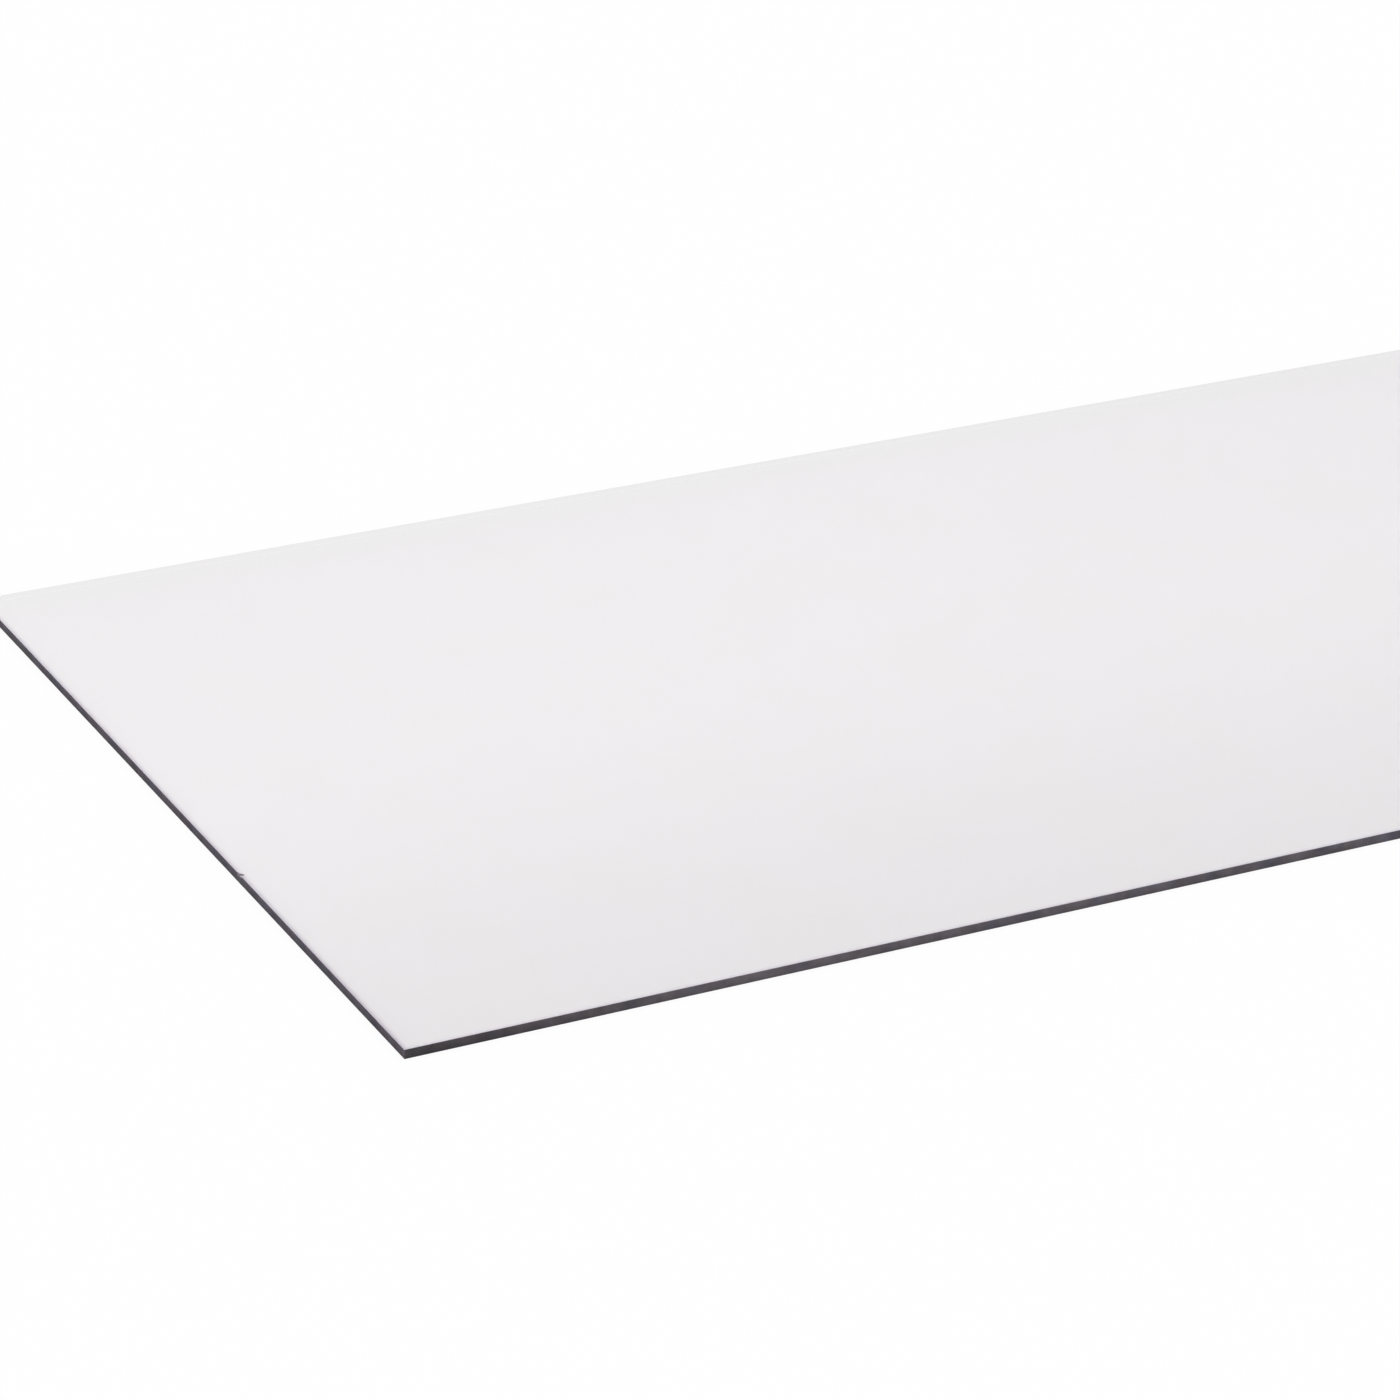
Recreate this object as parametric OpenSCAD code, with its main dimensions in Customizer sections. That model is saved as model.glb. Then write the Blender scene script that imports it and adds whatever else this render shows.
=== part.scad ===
// Flat sheet of clear plastic, cut to size from larger stock.
// It is one piece: two smooth cast faces, four square sawn edges, every sharp
// arris scraped off, and one small shell-shaped chip knocked out of an end.
// The sheet lies on its underside, with X along its length, Y across its
// width, Z up, and the origin at the middle of the underside.
// All sizes are in millimetres.

/* [Sheet] */
// Length of the sheet, along X
sheet_length = 1000; // [250:10:3000]
// Width of the sheet, along Y
sheet_width = 500; // [250:10:2000]
// Thickness of the sheet
sheet_thickness = 4; // [2:0.5:20]

/* [Sawn edges] */
// How far the scraper took each sharp arris back, on both of its faces
arris_flat = 0.15; // [0.05:0.05:0.5]

/* [Chip in the left end] */
// Distance from the front corner to the middle of the chip
chip_from_corner = 171; // [20:1:220]
// Length of the chip along the arris
chip_length = 4; // [3.8:0.1:8]
// How far the chip reaches onto the top face
chip_reach = 1.8; // [0.6:0.1:1.8]
// How far the chip drops down the sawn edge
chip_drop = 0.5; // [0.4:0.1:1.6]

/* [Flake beside the chip] */
// Length of the flake along the arris
flake_length = 2; // [1.6:0.1:3]
// How far the flake reaches onto the top face
flake_reach = 0.5; // [0.3:0.1:0.8]
// How far the flake drops down the sawn edge
flake_drop = 0.5; // [0.3:0.1:0.8]
// Stretch of arris that the chip and the flake have in common
flake_overlap = 0.6; // [0.2:0.1:1]

/* [Hidden] */

// Facets of the drawn chip; the chip itself is a true sphere
$fn = 64;

left_end = -sheet_length / 2;
front_edge = -sheet_width / 2;

chip_y = front_edge + chip_from_corner;
flake_y = chip_y + (chip_length + flake_length) / 2 - flake_overlap;

// Section through the sheet with its four arrises scraped off, centred on
// the middle of the sheet
module eased_section(across, high) {
    half_across = across / 2;
    half_high = high / 2;
    polygon([
        for (corner = [[1, 1], [-1, 1], [-1, -1], [1, -1]])
            let (
                at_side = [half_across, half_high - arris_flat],
                at_end = [half_across - arris_flat, half_high],
                turns_in = corner[0] * corner[1] > 0,
                order = turns_in ? [at_side, at_end] : [at_end, at_side]
            )
            for (point = order)
                [corner[0] * point[0], corner[1] * point[1]]
    ]);
}

// The blank: what is common to three eased bars, one along each axis, so that
// all twelve arrises and all eight corners lose the same flat
module eased_blank() {
    translate([0, 0, sheet_thickness / 2])
        intersection() {
            rotate([90, 0, 90])
                linear_extrude(sheet_length, center = true)
                    eased_section(sheet_width, sheet_thickness);
            rotate([90, 0, 0])
                linear_extrude(sheet_width, center = true)
                    eased_section(sheet_length, sheet_thickness);
            linear_extrude(sheet_thickness, center = true)
                eased_section(sheet_length, sheet_width);
        }
}

// What a knock on the arris breaks out: brittle plastic lets go along a shell,
// so this is the ball that passes through both ends of the break on the sharp
// arris, its furthest point on the top face and its lowest on the sawn edge
module shell_break(at_y, length, reach, drop) {
    half = length / 2;
    out_from_edge = (half * half - reach * reach) / (2 * reach);
    above_face = (half * half - drop * drop) / (2 * drop);
    radius = sqrt(
        half * half + out_from_edge * out_from_edge + above_face * above_face
    );
    translate([
        left_end - out_from_edge, at_y, sheet_thickness + above_face
    ])
        sphere(r = radius);
}

module sheet() {
    color("#ecebec")
        difference() {
            eased_blank();
            shell_break(chip_y, chip_length, chip_reach, chip_drop);
            shell_break(flake_y, flake_length, flake_reach, flake_drop);
        }
}

sheet();
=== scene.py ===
# %% [markdown]
# # A sheet of clear plastic, step by step
# The object is one flat sheet of clear cast acrylic, 1000 mm by 500 mm and
# 4 mm thick. Its two big faces are as smooth as the glass they were cast
# against. Its four narrow edges were cut with a circular saw, so they are
# dull, and they look dark because almost no light leaves the sheet through
# them towards the eye. The sharp corners along the edges, the arrises, were
# scraped off by a hair, and one small chip was knocked out of the left end.
#
# We load the fixed frame first. It says where the sheet is and how big it is,
# so nothing below has to guess a size or a place.

# %% Load the fixed frame
import bmesh
import bpy
import math
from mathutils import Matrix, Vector


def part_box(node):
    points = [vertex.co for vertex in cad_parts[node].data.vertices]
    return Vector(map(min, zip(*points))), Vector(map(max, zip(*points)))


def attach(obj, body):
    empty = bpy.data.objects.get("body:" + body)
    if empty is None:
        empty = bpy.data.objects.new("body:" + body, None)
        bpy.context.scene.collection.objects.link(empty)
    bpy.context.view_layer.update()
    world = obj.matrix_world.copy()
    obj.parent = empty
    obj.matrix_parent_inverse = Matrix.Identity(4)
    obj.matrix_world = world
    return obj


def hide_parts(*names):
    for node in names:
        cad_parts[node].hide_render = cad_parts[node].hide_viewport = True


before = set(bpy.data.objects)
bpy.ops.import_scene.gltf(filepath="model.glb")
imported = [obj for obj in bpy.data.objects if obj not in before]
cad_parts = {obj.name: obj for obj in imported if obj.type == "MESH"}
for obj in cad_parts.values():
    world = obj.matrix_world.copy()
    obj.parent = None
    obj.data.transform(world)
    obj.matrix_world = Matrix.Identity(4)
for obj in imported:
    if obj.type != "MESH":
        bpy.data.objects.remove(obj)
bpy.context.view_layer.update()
low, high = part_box("sheet")
size = high - low
MM = 0.001  # one millimetre, in the metres that Blender works in
print("sheet, in mm:", [round(v / MM, 3) for v in size])

# %% [markdown]
# ## The camera
# A flat sheet tells its depth only through perspective, so the camera decides
# how long and how thick it looks. This one stands left of the middle and in
# front, a little under a metre up, and looks down at the sheet through a long
# lens. A long lens from further away keeps the near and the far edge almost
# parallel, as a catalogue picture does. Depth of field stays off.

# %% Place the camera
EYE = (-1.151, -1.837, 0.8965)  # metres from the middle of the sheet's underside
LOOKS_DOWN = 23.586  # degrees below the horizon
LOOKS_RIGHT = 26.064  # degrees to the right of straight across the sheet
FOCAL_LENGTH = 130.3  # millimetres, on a sensor 36 mm wide

bpy.ops.object.select_all(action="DESELECT")
bpy.ops.object.camera_add(
    location=EYE,
    rotation=(math.radians(90 - LOOKS_DOWN), 0, math.radians(-LOOKS_RIGHT)),
)
camera = bpy.context.object
camera.name = "camera"
camera.data.sensor_width = 36
camera.data.lens = FOCAL_LENGTH
camera.data.clip_end = 100
scene = bpy.context.scene
scene.camera = camera
scene.view_settings.view_transform = "Standard"
print("camera at", tuple(round(v, 3) for v in camera.location))

# %% [markdown]
# ## Two small helpers
# Colours are written as the hex values that a paint program shows. Blender
# wants linear light, so one function converts them. A second one adds a
# shader node with its settings, its constant inputs and its links in a single
# call, which keeps every material short enough to read. The sockets of a node
# that mixes colours have only numbers to tell them apart, so they get names.

# %% Colour and node helpers
FACTOR, COLOUR_A, COLOUR_B, MIXED = 0, 6, 7, 2  # three inputs and the output


def colour(hex_text):
    """Turns an sRGB hex colour into Blender's linear red, green, blue, alpha."""
    parts = [int(hex_text[i:i + 2], 16) / 255 for i in (1, 3, 5)]
    linear = [
        c / 12.92 if c <= 0.04045 else ((c + 0.055) / 1.055) ** 2.4 for c in parts
    ]
    return (*linear, 1.0)


def add_node(tree, kind, values=None, links=None, **settings):
    """Adds one node. values and links are keyed by the input's name or number."""
    node = tree.nodes.new(kind)
    for name, setting in settings.items():
        setattr(node, name, setting)
    for key, value in (values or {}).items():
        node.inputs[key].default_value = value
    for key, source in (links or {}).items():
        tree.links.new(source, node.inputs[key])
    return node


print("mid grey #808080 is", round(colour("#808080")[0], 3), "in linear light")

# %% [markdown]
# ## The studio light
# A clear sheet has no colour of its own to show. It shows the room: what lies
# under it, seen through it, and what stands behind it, mirrored in it. So the
# room is the most important light. Lamps would leave hard spots of glare on
# the flat face. A painted sky does not, and it can be shaped like a product
# studio: pale card up to about 30 degrees over the horizon, a dimmer wall above
# it, and a broad soft light overhead, all of it falling off towards the right.
#
# Height over the horizon picks the brightness from a colour ramp. The camera
# itself sees plain white, which gives the white background without putting
# any more light on the sheet.

# %% Paint the room
WALL_LEAN = 0.196  # the wall's bands climb a little towards the right
FADE_FROM = 0.352  # X of the direction where the room begins to dim; 1 is due right
FADE_TO = 0.5  # what is left of its light on the far right
BANDS = [  # height, from 0 at the horizon to 1 overhead, and brightness there
    (0.0, 0.834), (0.471, 0.834),
    (0.549, 0.312), (0.62, 0.312),
    (0.85, 1.7), (1.0, 1.7),
]

world = bpy.data.worlds.new("studio")
scene.world = world
world.use_nodes = True
sky = world.node_tree
room_light = sky.nodes["Background"]
room_light.inputs["Color"].default_value = (1, 1, 1, 1)
direction = add_node(sky, "ShaderNodeTexCoord").outputs["Generated"]
axes = add_node(sky, "ShaderNodeSeparateXYZ", links={0: direction}).outputs
height = add_node(
    sky, "ShaderNodeMath", {1: WALL_LEAN}, {0: axes["X"], 2: axes["Z"]},
    operation="MULTIPLY_ADD",
).outputs[0]
ramp = add_node(sky, "ShaderNodeValToRGB", links={"Fac": height})
ramp.color_ramp.interpolation = "EASE"
elements = ramp.color_ramp.elements
while len(elements) < len(BANDS):
    elements.new(0.5)
for element, (position, bright) in zip(elements, BANDS):
    element.position = position
    element.color = (bright, bright, bright, 1)
side = add_node(
    sky, "ShaderNodeMapRange",
    {"From Min": FADE_FROM, "From Max": 1.0, "To Min": 1.0, "To Max": FADE_TO},
    {"Value": axes["X"]}, interpolation_type="SMOOTHSTEP",
).outputs[0]
level = add_node(
    sky, "ShaderNodeMath", links={0: ramp.outputs["Color"], 1: side},
    operation="MULTIPLY",
).outputs[0]
sky.links.new(level, room_light.inputs["Strength"])
seen = add_node(sky, "ShaderNodeLightPath").outputs["Is Camera Ray"]
white = add_node(
    sky, "ShaderNodeBackground", {"Color": (1, 1, 1, 1), "Strength": 1.0}
).outputs[0]
both = add_node(
    sky, "ShaderNodeMixShader",
    links={0: seen, 1: room_light.outputs[0], 2: white},
).outputs[0]
sky.links.new(both, sky.nodes["World Output"].inputs["Surface"])
print("room painted in", len(BANDS), "bands")

# %% [markdown]
# ## The floor
# The sheet lies on a smooth white board. A real sheet never touches all over:
# it rides on dust and on its own slight bow, so the board sits a fifth of a
# millimetre lower. That thin film of air matters, because without it the
# underside would not mirror.
#
# Most of the board's brightness towards the camera is given directly, so that
# it runs into the white background without a line. The rest is ordinary matt
# white that takes the light and the sheet's shadow.
#
# Close to the back edge, what is seen of the board through the sheet is given
# the same way. The sawn edges, further on, are made solid to light that comes
# from outside, so the back one would draw a thin line of shadow on the board,
# just where a real clear edge lets the light pass and vanishes.

# %% Lay the floor
BOARD_SIZE = 12  # metres, wide enough to run past every edge of the view
AIR_GAP = 0.2 * MM
SHARE_GIVEN = 0.93  # part of the board's brightness that is given directly
BACK_STRIP = 60 * MM  # how far in from the back edge the even strip begins
BACK_FULL = 5 * MM  # how far in from the back edge it is complete
BACK_LEVEL = 0.895  # as bright as the board is further in under the sheet

bpy.ops.mesh.primitive_plane_add(size=BOARD_SIZE, location=(0, 0, low.z - AIR_GAP))
floor = bpy.context.object
floor.name = "floor"
board = bpy.data.materials.new("white_board")
board.use_nodes = True
tree = board.node_tree
matt = tree.nodes["Principled BSDF"]
matt.inputs["Base Color"].default_value = colour("#f2f2f2")
matt.inputs["Roughness"].default_value = 0.9
matt.inputs["Specular IOR Level"].default_value = 0.0
seen = add_node(tree, "ShaderNodeLightPath").outputs["Is Camera Ray"]
share = add_node(
    tree, "ShaderNodeMath", {1: SHARE_GIVEN}, {0: seen}, operation="MULTIPLY"
).outputs[0]
glow = add_node(
    tree, "ShaderNodeEmission", {"Color": (1, 1, 1, 1), "Strength": 1.0}
).outputs[0]
spot = add_node(tree, "ShaderNodeTexCoord").outputs["Object"]
across = add_node(tree, "ShaderNodeSeparateXYZ", links={0: spot}).outputs["Y"]
near_back = add_node(
    tree, "ShaderNodeMapRange",
    {"From Min": high.y - BACK_STRIP, "From Max": high.y - BACK_FULL},
    {"Value": across}, interpolation_type="SMOOTHSTEP",
).outputs[0]
through = add_node(tree, "ShaderNodeLightPath").outputs["Is Transmission Ray"]
lifted = add_node(
    tree, "ShaderNodeMath", links={0: through, 1: near_back}, operation="MULTIPLY"
).outputs[0]
even = add_node(
    tree, "ShaderNodeEmission", {"Color": (1, 1, 1, 1), "Strength": BACK_LEVEL}
).outputs[0]
under = add_node(
    tree, "ShaderNodeMixShader", links={0: lifted, 1: matt.outputs[0], 2: even}
).outputs[0]
mixed = add_node(
    tree, "ShaderNodeMixShader", links={0: share, 1: under, 2: glow}
).outputs[0]
tree.links.new(mixed, tree.nodes["Material Output"].inputs["Surface"])
floor.data.materials.append(board)
print("floor laid", round((low.z - floor.location.z) / MM, 2), "mm under the sheet")

# %% [markdown]
# ## Cutting the blank
# A cube of the right size would already look like a sheet from far away. But
# a saw leaves its mark on every millimetre of the edge, and a cube has nothing
# there to move. So the sheet starts as its outline: the rim of a rectangle,
# divided every millimetre, filled, and raised to its thickness. That puts fine
# divisions all along the sawn edges, and none on the two big faces, which must
# stay perfectly flat to look like cast plastic.
#
# One face with three thousand corners is slow to draw, though, because it
# falls apart into slivers a metre long. So, before it is raised, the flat shape
# is bisected into bays, with a narrow margin along the rim that keeps the short
# divisions away from the middle.

# %% Draw the outline and raise it
STEP = 1.0 * MM  # between two divisions of the rim
BAY = 50 * MM  # side of one bay of the big faces
MARGIN = 8 * MM  # width of the strip along the rim


def pick(piece, kind, test):
    """Selects a piece's vertices, edges or faces that pass a test, in edit mode."""
    modes = {"verts": "VERT", "edges": "EDGE", "faces": "FACE"}
    bpy.ops.mesh.select_mode(type=modes[kind])
    bpy.ops.mesh.select_all(action="DESELECT")
    cells = bmesh.from_edit_mesh(piece.data)
    count = 0
    for part in getattr(cells, kind):
        if test(part):
            part.select_set(True)
            count += 1
    bmesh.update_edit_mesh(piece.data)
    return count


def runs_along(edge, axis):
    """True if an edge runs along the given axis: 0 for X, 1 for Y, 2 for Z."""
    run = (edge.verts[1].co - edge.verts[0].co).normalized()
    return abs(run[axis]) > 0.999


centre = (low + high) / 2
bpy.ops.object.select_all(action="DESELECT")
bpy.ops.mesh.primitive_plane_add(size=1, location=(centre.x, centre.y, low.z))
sheet = bpy.context.object
sheet.name = "clear_sheet"
bpy.ops.transform.resize(value=(size.x, size.y, 1))
bpy.ops.object.transform_apply(location=True, rotation=True, scale=True)
bpy.ops.object.mode_set(mode="EDIT")
bpy.ops.mesh.delete(type="ONLY_FACE")
for axis in (0, 1):
    # one round makes at most a hundred cuts, so there is a coarse round, and
    # then one that divides each length by ten
    for cuts in (round(size[axis] / STEP / 10) - 1, 9):
        pick(sheet, "edges", lambda e: runs_along(e, axis))
        bpy.ops.mesh.subdivide(number_cuts=cuts)
bpy.ops.mesh.select_all(action="SELECT")
bpy.ops.mesh.edge_face_add()
for axis in (0, 1):
    bays = round(size[axis] / BAY)
    places = [low[axis] + size[axis] * i / bays for i in range(1, bays)]
    for place in [low[axis] + MARGIN, *places, high[axis] - MARGIN]:
        across = Vector((0, 0, low.z))
        across[axis] = place
        bpy.ops.mesh.select_all(action="SELECT")
        bpy.ops.mesh.bisect(plane_co=across, plane_no=[axis == 0, axis == 1, 0])
bpy.ops.mesh.select_all(action="SELECT")
bpy.ops.mesh.extrude_region_move(
    TRANSFORM_OT_translate={"value": (0, 0, size.z)}
)
bpy.ops.mesh.select_all(action="SELECT")
bpy.ops.mesh.normals_make_consistent(inside=False)
bpy.ops.object.mode_set(mode="OBJECT")
print(
    "blank:", len(sheet.data.vertices), "vertices,",
    len(sheet.data.polygons), "faces",
)

# %% [markdown]
# ## Scraping the arrises
# A saw leaves an edge sharp enough to cut a hand, so the maker draws a scraper
# along it. That takes off a flat of 0.15 mm, on the long arrises and on the
# four short upright ones. A bevel of one segment on just those edges does the
# same. It comes before the saw marks, while the edges are still straight. The
# upright lines between two divisions are then split in three, so that a mark
# can change a little on its way down.

# %% Scrape the arrises
ARRIS = 0.15 * MM
TOUCHING = 0.0001 * MM  # nearer than this counts as lying on a plane


def is_arris(edge):
    """An arris lies on two outer planes along its whole length."""
    shared = [
        axis for axis in range(3) for end in (low, high)
        if all(abs(v.co[axis] - end[axis]) < TOUCHING for v in edge.verts)
    ]
    return len(shared) == 2


bpy.ops.object.mode_set(mode="EDIT")
arrises = pick(sheet, "edges", is_arris)
bpy.ops.mesh.bevel(offset=ARRIS, offset_type="OFFSET", segments=1, affect="EDGES")
upright = pick(
    sheet, "edges",
    lambda e: runs_along(e, 2) and e.calc_length() > size.z / 2,
)
bpy.ops.mesh.subdivide(number_cuts=2)
bpy.ops.object.mode_set(mode="OBJECT")
print("scraped", arrises, "short lengths of arris")
print("split", upright, "uprights in three")

# %% [markdown]
# ## Saw marks
# Each tooth of the blade leaves a shallow scratch that leans forward a little,
# because the sheet moves while the tooth comes down. Where two teeth disagree
# there is a step of a few hundredths of a millimetre.
#
# A Displace modifier with a cloud pattern makes them. The pattern is read
# through an empty that is stretched upwards and leans over, so its round
# blobs become slanting strokes. The marks only go inwards: the sheet never
# grows past its size. Real marks lie about half a millimetre apart. These are
# drawn at 2.5 mm, which is as fine as a picture of the whole sheet can show.
# They hardly change from top to bottom. Light inside the sheet is only a few
# degrees short of being trapped, and an edge that leaned would trap it and
# show as a row of dark dashes.

# %% Run the saw along the four edges
MARK_SPACING = 2.5 * MM
MARK_DEPTH = 0.08 * MM
MARK_LENGTH = 8 * MARK_SPACING  # five times the edge's height, so marks run through
BLADE_LEAN = math.radians(14)

bpy.ops.object.select_all(action="DESELECT")
bpy.ops.object.empty_add(
    type="PLAIN_AXES", location=(0.013, 0.029, 0.007),
    rotation=(BLADE_LEAN, BLADE_LEAN, 0),
)
blade = bpy.context.object
blade.scale = (MARK_SPACING, MARK_SPACING, MARK_LENGTH)
strokes = bpy.data.textures.new("saw_strokes", "CLOUDS")
strokes.noise_scale = 1.0
strokes.noise_depth = 2
strokes.contrast = 1.2
strokes.intensity = 1.05

for name, axis, wall, inwards in (
    ("left", 0, low.x, 1), ("right", 0, high.x, -1),
    ("front", 1, low.y, 1), ("back", 1, high.y, -1),
):
    group = sheet.vertex_groups.new(name=name)
    on_wall = [
        v.index for v in sheet.data.vertices
        if abs(v.co[axis] - wall) < TOUCHING
    ]
    group.add(on_wall, 1.0, "REPLACE")
    saw = sheet.modifiers.new(name, "DISPLACE")
    saw.texture = strokes
    saw.texture_coords = "OBJECT"
    saw.texture_coords_object = blade
    saw.vertex_group = name
    saw.direction = "XY"[axis]
    saw.strength = inwards * MARK_DEPTH
    saw.mid_level = 0.0
    bpy.ops.object.select_all(action="DESELECT")
    bpy.context.view_layer.objects.active = sheet
    sheet.select_set(True)
    bpy.ops.object.modifier_apply(modifier=saw.name)
sheet.vertex_groups.clear()
bpy.data.objects.remove(blade)
depths = [v.co.y - low.y for v in sheet.data.vertices]
deepest = max(depth for depth in depths if depth < 0.9 * ARRIS)
print("marks on the front edge go in by up to", round(deepest / MM, 3), "mm")

# %% [markdown]
# ## The chip
# Acrylic is brittle. A knock on the arris lets go a shell-shaped flake, the
# way flint does, and leaves a hollow with faint ripples that spread from the
# blow. The hollow here is 4 mm long and very shallow, with a second, smaller
# one beside it.
#
# It could be pushed in by hand, but a ball cut away from the sheet gives the
# true shape: a clean rim, and a floor that steepens evenly. Each ball gets
# its ripples from a ring pattern centred on the blow, before it is used as
# the cutter.

# %% Knock out the chip
BALLS = [  # in mm: from the left end, the front corner and the top face; radius
    ("chip", -0.211, 171.0, 3.75, 4.255),
    ("flake", -0.75, 173.4, 0.75, 1.458),
]
RIPPLE_SPACING = 0.5 * MM
RIPPLE_DEPTH = 0.02 * MM
RING_PERIOD = 0.314  # the ring pattern repeats this often at its own scale

rings = bpy.data.textures.new("shell_ripples", "WOOD")
rings.wood_type = "RINGS"
rings.noise_basis_2 = "SIN"
chip_balls = []
for name, out, along, above, radius in BALLS:
    middle = Vector((low.x + out * MM, low.y + along * MM, high.z + above * MM))
    chip_balls.append((middle, radius * MM))
    bpy.ops.object.select_all(action="DESELECT")
    bpy.ops.object.empty_add(type="PLAIN_AXES", location=(low.x, middle.y, high.z))
    blow = bpy.context.object
    blow.scale = [RIPPLE_SPACING / RING_PERIOD] * 3
    bpy.ops.object.select_all(action="DESELECT")
    bpy.ops.mesh.primitive_ico_sphere_add(
        subdivisions=6, radius=radius * MM, location=middle
    )
    ball = bpy.context.object
    bpy.ops.object.transform_apply(location=True, rotation=True, scale=True)
    ripple = ball.modifiers.new("ripple", "DISPLACE")
    ripple.texture = rings
    ripple.texture_coords = "OBJECT"
    ripple.texture_coords_object = blow
    ripple.strength = RIPPLE_DEPTH
    bpy.ops.object.modifier_apply(modifier=ripple.name)
    cut = sheet.modifiers.new(name, "BOOLEAN")
    cut.operation = "DIFFERENCE"
    cut.solver = "EXACT"
    cut.object = ball
    bpy.ops.object.select_all(action="DESELECT")
    bpy.context.view_layer.objects.active = sheet
    sheet.select_set(True)
    bpy.ops.object.modifier_apply(modifier=cut.name)
    bpy.data.objects.remove(ball)
    bpy.data.objects.remove(blow)
    print(name, "cut:", len(sheet.data.polygons), "faces now")

# %% [markdown]
# ## Cast acrylic
# The big faces are cast acrylic, PMMA, with a refractive index of 1.49. They
# are as smooth as plate glass, so the roughness is next to nothing. What
# little there is comes as faint patches from wiping, some 60 mm across.
#
# The plastic itself takes away a trace of light with depth, and it leans to
# violet because of the blue dye that makers add against yellowing. A volume
# does the first and a barely tinted surface the second.
#
# Within 3 mm of the front edge and the left end, the faces are given a violet-grey
# tint that fades out towards the middle. It is painted shade: it stands for the
# shadow that lies on the board just inside those edges, seen through the plastic.
# It softens the line where the pale face meets the dark edge. The nearer of the two
# edges decides how deep in the painted shade a spot is, so it turns the corner
# without a seam.

# %% Make the cast faces
ACRYLIC_IOR = 1.49
DEPTH_COLOUR = (0.5, 0.47, 0.52, 1)  # the nearer to 1, the less is lost of it
DEPTH_DENSITY = 10.0  # per metre; straight down through 4 mm costs about 2 %
WIPE_SIZE = 60 * MM
RIM_SHADE_WIDTH = 3 * MM


def plastic(name, **sockets):
    """A clear plastic material: its tree and its main shader."""
    material = bpy.data.materials.new(name)
    material.use_nodes = True
    tree = material.node_tree
    shader = tree.nodes["Principled BSDF"]
    shader.inputs["IOR"].default_value = ACRYLIC_IOR
    for key, value in sockets.items():
        shader.inputs[key.replace("_", " ")].default_value = value
    depth = add_node(
        tree, "ShaderNodeVolumeAbsorption",
        {"Color": DEPTH_COLOUR, "Density": DEPTH_DENSITY},
    )
    tree.links.new(depth.outputs[0], tree.nodes["Material Output"].inputs["Volume"])
    return material, tree, shader


cast, tree, shader = plastic("cast_acrylic", Transmission_Weight=1.0)
place = add_node(tree, "ShaderNodeTexCoord").outputs["Object"]
wiped = add_node(
    tree, "ShaderNodeTexNoise", {"Scale": 1 / WIPE_SIZE, "Detail": 1.0},
    {"Vector": place},
).outputs["Fac"]
smooth = add_node(
    tree, "ShaderNodeMapRange",
    {"From Min": 0.5, "From Max": 0.75, "To Min": 0.0, "To Max": 0.03},
    {"Value": wiped},
).outputs[0]
tree.links.new(smooth, shader.inputs["Roughness"])
tint = add_node(
    tree, "ShaderNodeMix",
    {COLOUR_A: colour("#fffeff"), COLOUR_B: colour("#fffdfe")},
    {FACTOR: wiped}, data_type="RGBA",
).outputs[MIXED]
where = add_node(tree, "ShaderNodeSeparateXYZ", links={0: place}).outputs
from_left = add_node(
    tree, "ShaderNodeMath", {1: low.x}, {0: where["X"]}, operation="SUBTRACT"
).outputs[0]
from_front = add_node(
    tree, "ShaderNodeMath", {1: low.y}, {0: where["Y"]}, operation="SUBTRACT"
).outputs[0]
from_edge = add_node(
    tree, "ShaderNodeMath", links={0: from_left, 1: from_front}, operation="MINIMUM"
).outputs[0]
# painted shade: a violet-grey rim within 3 mm of the front edge and the left end,
# standing for the board's shadow seen through the sheet
clear = add_node(
    tree, "ShaderNodeMapRange", {"From Max": RIM_SHADE_WIDTH}, {"Value": from_edge},
    interpolation_type="SMOOTHSTEP",
).outputs[0]
rim_shaded = add_node(
    tree, "ShaderNodeMix",
    {COLOUR_A: colour("#e2dae7")}, {FACTOR: clear, COLOUR_B: tint},
    data_type="RGBA",
).outputs[MIXED]
tree.links.new(rim_shaded, shader.inputs["Base Color"])
print("cast faces: IOR", ACRYLIC_IOR)

# %% [markdown]
# ## Sawn edges
# Seen from outside, a sawn edge is dull and dark violet-grey. The saw roughened it,
# and behind it lies half a metre of plastic that gives back little light. That
# darkness is painted shade here: the outside is given a dark colour and lets no
# light through. Its tone wanders over a few millimetres to about a centimetre, now
# bluer, now browner. A scraped arris is the same, only painted a shade lighter.
# That is a painted highlight for the light from above that it catches.
#
# Seen from inside, through the face, the same edge is a mirror. That is why
# the far edge of a clear sheet can hardly be found. One material does both:
# Backfacing tells it which side is being looked at.
#
# The left end is the coarser cut, and it is dull from both sides. It lets no light
# in from the left, so the board under the sheet turns softly darker just inside
# that end. The painted shade of the edges is made deeper in three places: over the
# whole left end, towards the bottom of every edge near the board's shadow, and
# along the front edge towards its left corner. Each of these is a factor that the
# colour is multiplied by.

# %% Make the sawn edges
BLOTCH_SIZE = 9 * MM
HUE_SIZE = 12 * MM
COARSE_CUT = 0.5 * MM  # what lies this near the left end belongs to its cut
CORNER_SHADE_REACH = 130 * MM  # how far from the front left corner the painted shade deepens


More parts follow.
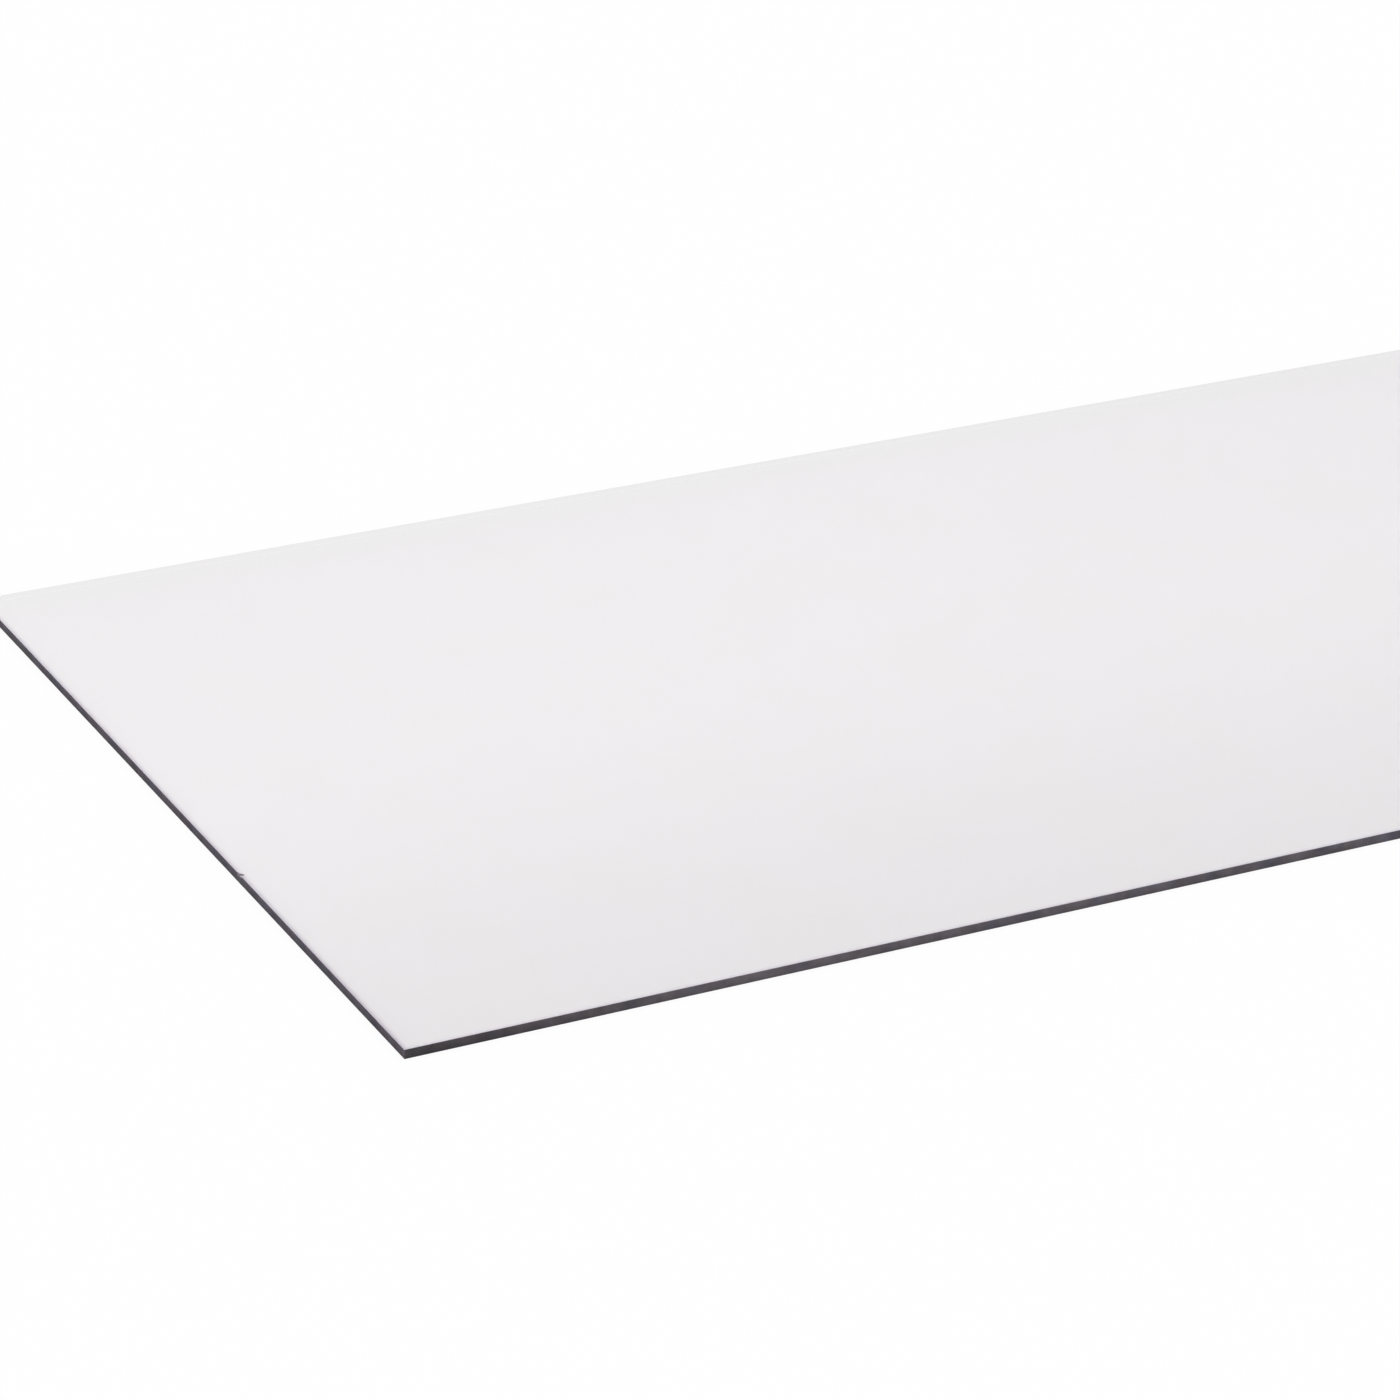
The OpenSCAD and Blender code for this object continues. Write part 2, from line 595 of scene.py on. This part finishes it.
def sawn(name, dark, light, blue, brown):
    """A sawn surface: dull and painted dark from outside, mirroring from inside."""
    material, tree, shader = plastic(name)
    place = add_node(tree, "ShaderNodeTexCoord").outputs["Object"]
    blotch = add_node(
        tree, "ShaderNodeTexNoise",
        {"Scale": 1 / BLOTCH_SIZE, "Detail": 3.0, "Roughness": 0.6},
        {"Vector": place},
    ).outputs["Fac"]
    spread = add_node(
        tree, "ShaderNodeMapRange", {"From Min": 0.3, "From Max": 0.7},
        {"Value": blotch},
    ).outputs[0]
    tone = add_node(
        tree, "ShaderNodeMix",
        {COLOUR_A: colour(dark), COLOUR_B: colour(light)}, {FACTOR: spread},
        data_type="RGBA",
    ).outputs[MIXED]
    wander = add_node(
        tree, "ShaderNodeTexNoise",
        {"Scale": 1 / HUE_SIZE, "Detail": 2.0, "W": 4.0},
        {"Vector": place}, noise_dimensions="4D",
    ).outputs["Fac"]
    drift = add_node(
        tree, "ShaderNodeMapRange", {"From Min": 0.34, "From Max": 0.5},
        {"Value": wander},
    ).outputs[0]
    hue = add_node(
        tree, "ShaderNodeMix",
        {COLOUR_A: colour(blue), COLOUR_B: colour(brown)}, {FACTOR: drift},
        data_type="RGBA",
    ).outputs[MIXED]
    tinted = add_node(
        tree, "ShaderNodeMix", {FACTOR: 1.0}, {COLOUR_A: tone, COLOUR_B: hue},
        data_type="RGBA", blend_type="MULTIPLY",
    ).outputs[MIXED]
    where = add_node(tree, "ShaderNodeSeparateXYZ", links={0: place}).outputs
    fine_cut = add_node(
        tree, "ShaderNodeMath", {1: low.x + COARSE_CUT}, {0: where["X"]},
        operation="GREATER_THAN",
    ).outputs[0]
    corner = add_node(
        tree, "ShaderNodeVectorMath", {1: low}, {0: place}, operation="DISTANCE"
    ).outputs["Value"]
    # painted shade: the edges' colour darkens towards the front left corner
    corner_shade = add_node(
        tree, "ShaderNodeMapRange",
        {"From Max": CORNER_SHADE_REACH, "To Min": 0.5, "To Max": 1.0}, {"Value": corner},
    ).outputs[0]
    # painted shade: the whole left end takes the darker #dad7e1 factor, elsewhere
    # the corner's painted shade
    end_and_corner_shade = add_node(
        tree, "ShaderNodeMix",
        {COLOUR_A: colour("#dad7e1")}, {FACTOR: fine_cut, COLOUR_B: corner_shade},
        data_type="RGBA",
    ).outputs[MIXED]
    # painted shade: the edges' colour darkens towards the bottom, near the board's
    # shadow
    low_shade = add_node(
        tree, "ShaderNodeMapRange",
        {"From Min": low.z, "From Max": high.z, "To Min": 0.8, "To Max": 1.0},
        {"Value": where["Z"]},
    ).outputs[0]
    edge_shade = add_node(
        tree, "ShaderNodeVectorMath", links={0: end_and_corner_shade, "Scale": low_shade},
        operation="SCALE",
    ).outputs[0]
    # the random tone times all of this painted shade
    tone_and_shade = add_node(
        tree, "ShaderNodeVectorMath", links={0: tinted, 1: edge_shade},
        operation="MULTIPLY",
    ).outputs[0]
    behind = add_node(tree, "ShaderNodeNewGeometry").outputs["Backfacing"]
    inside = add_node(
        tree, "ShaderNodeMath", links={0: behind, 1: fine_cut}, operation="MULTIPLY"
    ).outputs[0]
    base = add_node(
        tree, "ShaderNodeMix",
        {COLOUR_B: colour("#fcf9fc")}, {FACTOR: inside, COLOUR_A: tone_and_shade},
        data_type="RGBA",
    ).outputs[MIXED]
    tree.links.new(base, shader.inputs["Base Color"])
    tree.links.new(inside, shader.inputs["Transmission Weight"])
    for socket, outer, inner in (
        ("Roughness", 0.4, 0.02), ("Specular IOR Level", 0.03, 0.5),
    ):
        by_side = add_node(
            tree, "ShaderNodeMath", {1: inner - outer, 2: outer}, {0: inside},
            operation="MULTIPLY_ADD",
        ).outputs[0]
        tree.links.new(by_side, shader.inputs[socket])
    return material


# the dark and light colours are painted shade on the edges; the arris colours are
# lighter, a painted highlight
edge = sawn("sawn_acrylic", "#58555a", "#6e6b70", "#f1f2ff", "#fff9f9")
arris = sawn("scraped_acrylic", "#6e6b74", "#7c7882", "#f1f2ff", "#fff9f9")
print("sawn edges in", edge.name, "and", arris.name)

# %% [markdown]
# ## The break
# Inside the chip the plastic is clear and glossy, only not as smooth as the
# cast face. It needs no more colour than a light grey, for the dust that has
# settled in it. Its tilted floor bends the view sideways into the sheet, and
# that draws the dark crescent.

# %% Make the break
HACKLE_SIZE = 0.4 * MM

broken, tree, shader = plastic("broken_acrylic", Transmission_Weight=0.75)
place = add_node(tree, "ShaderNodeTexCoord").outputs["Object"]
hackle = add_node(
    tree, "ShaderNodeTexNoise", {"Scale": 1 / HACKLE_SIZE, "Detail": 2.0},
    {"Vector": place},
).outputs["Fac"]
gloss = add_node(
    tree, "ShaderNodeMapRange", {"To Min": 0.02, "To Max": 0.2}, {"Value": hackle}
).outputs[0]
tree.links.new(gloss, shader.inputs["Roughness"])
shader.inputs["Base Color"].default_value = colour("#ccc5d1")
print("break:", broken.name)

# %% [markdown]
# ## Dressing the sheet
# The faces are told apart by where they look. Straight up or down is a cast face,
# square to a side is a sawn edge, slanting is a scraped arris, and what lies on one
# of the balls is the break. The arrises on the underside face down, away from the
# light, so they take the sawn edges' darker painted shade instead of the arris's
# lighter painted highlight. The cast faces are shaded flat, so that no other face's
# slope can leak into them. The rest is smooth, with hard lines only at real
# corners.

# %% Assign the materials and the shading
BREAK_SLACK = 0.03 * MM  # the ripples move the break's faces off the ball a little


def in_break(face):
    """True if a face lies on one of the balls that cut the chip."""
    spot = face.calc_center_median()
    return any(
        abs((spot - middle).length - radius) < BREAK_SLACK
        for middle, radius in chip_balls
    )


def facing(face):
    """Which finish a face has: 0 cast, 1 sawn, 2 scraped, 3 broken."""
    if abs(face.normal.z) > 0.99999:
        return 0
    if in_break(face):
        return 3
    square = max(abs(face.normal.x), abs(face.normal.y)) > 0.93
    # an arris facing down takes the sawn edges' darker painted shade
    underneath = face.normal.z < -0.3
    return 1 if square or underneath else 2


for material in (cast, edge, arris, broken):
    sheet.data.materials.append(material)
bpy.ops.object.shade_smooth_by_angle(angle=math.radians(15))
bpy.ops.object.mode_set(mode="EDIT")
for slot in range(4):
    count = pick(sheet, "faces", lambda f: facing(f) == slot)
    sheet.active_material_index = slot
    bpy.ops.object.material_slot_assign()
    print(sheet.data.materials[slot].name, "on", count, "faces")
pick(sheet, "faces", lambda f: facing(f) == 0)
bpy.ops.mesh.faces_shade_flat()
bpy.ops.object.mode_set(mode="OBJECT")

# %% [markdown]
# ## Handing over
# The new piece rides on the one body of the model and stands for the plain CAD
# sheet. Light has to cross many faces inside a clear sheet, so the number of
# bounces goes up, and the shortcut that blurs glossy light after a bounce is
# switched off, because it darkens what is seen through the plastic.

# %% Hand over and finish
BOUNCES = 24

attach(sheet, "root")
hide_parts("sheet")
scene.cycles.blur_glossy = 0.0
scene.cycles.max_bounces = BOUNCES
scene.cycles.transmission_bounces = BOUNCES
scene.cycles.glossy_bounces = BOUNCES
bpy.context.view_layer.update()
